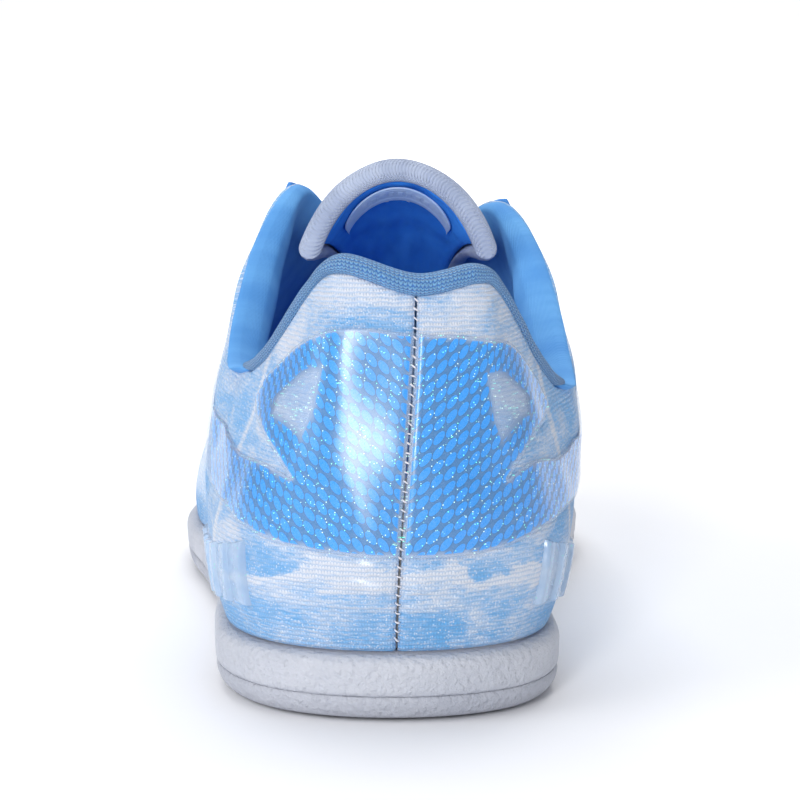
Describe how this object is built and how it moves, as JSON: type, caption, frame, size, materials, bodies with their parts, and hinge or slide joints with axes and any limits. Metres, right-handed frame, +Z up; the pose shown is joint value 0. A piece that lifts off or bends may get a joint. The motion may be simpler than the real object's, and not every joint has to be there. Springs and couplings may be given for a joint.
{
  "type": "cheer shoe",
  "caption": "Low-cut left cheer shoe with a flat two-part sole, marbled knit upper, clear patterned heel film, padded collar and a padded tongue that swings at its base.",
  "frame": {"origin": "bottom centre of the shoe's box, on the floor it stands on", "axes": "+Z up, +Y from heel to toe, +X to the inner side of the foot"},
  "size_m": [0.0916, 0.255, 0.1005],
  "materials": {
    "outsole_rubber": "satin, fine leather-like grain",
    "midsole_foam": "satin, fine leather-like grain",
    "board": "matt non-woven",
    "padding_foam": "matt open-cell foam",
    "sockliner_fabric": "matt brushed fabric",
    "marbled_knit": "ribbed knit, white and light-blue marbling with a silver yarn",
    "vamp_fabric": "smooth matt fabric",
    "collar_fabric": "smooth brushed fabric",
    "lining_fabric": "smooth brushed fabric",
    "stiffener": "matt",
    "binding_knit": "open coarse knit",
    "heel_film": "clear gloss film printed with small ellipses, fine glitter",
    "side_mark": "clear gloss, raised",
    "eyestay": "smooth, matt",
    "thread": "satin twisted thread",
    "tongue_knit": "soft brushed knit",
    "label": "translucent satin print"
  },
  "bodies": {
    "shoe": {"outsole": "outsole_rubber", "midsole": "midsole_foam", "strobel_board": "board", "sockliner_foam": "padding_foam", "sockliner_cover": "sockliner_fabric", "quarter_lateral": "marbled_knit", "quarter_medial": "marbled_knit", "vamp": "vamp_fabric", "collar_lining_lateral": "collar_fabric", "collar_lining_medial": "collar_fabric", "collar_foam_lateral": "padding_foam", "collar_foam_medial": "padding_foam", "vamp_lining": "lining_fabric", "heel_counter": "stiffener", "toe_puff": "stiffener", "heel_binding": "binding_knit", "heel_film_lateral": "heel_film", "heel_film_medial": "heel_film", "side_mark_lateral": "side_mark", "side_mark_medial": "side_mark", "eyestay_lateral": "eyestay", "eyestay_medial": "eyestay", "heel_seam_thread": "thread"},
    "tongue": {"tongue_shell": "tongue_knit", "tongue_foam": "padding_foam", "tongue_lining": "lining_fabric", "tongue_label": "label"}
  },
  "joints": [
    {"name": "tongue_swing", "type": "hinge", "parent": "shoe", "child": "tongue", "pos_m": [0.0034, 0.064, 0.044], "axis": [1, 0, 0], "range_deg": [0, 14]}
  ]
}
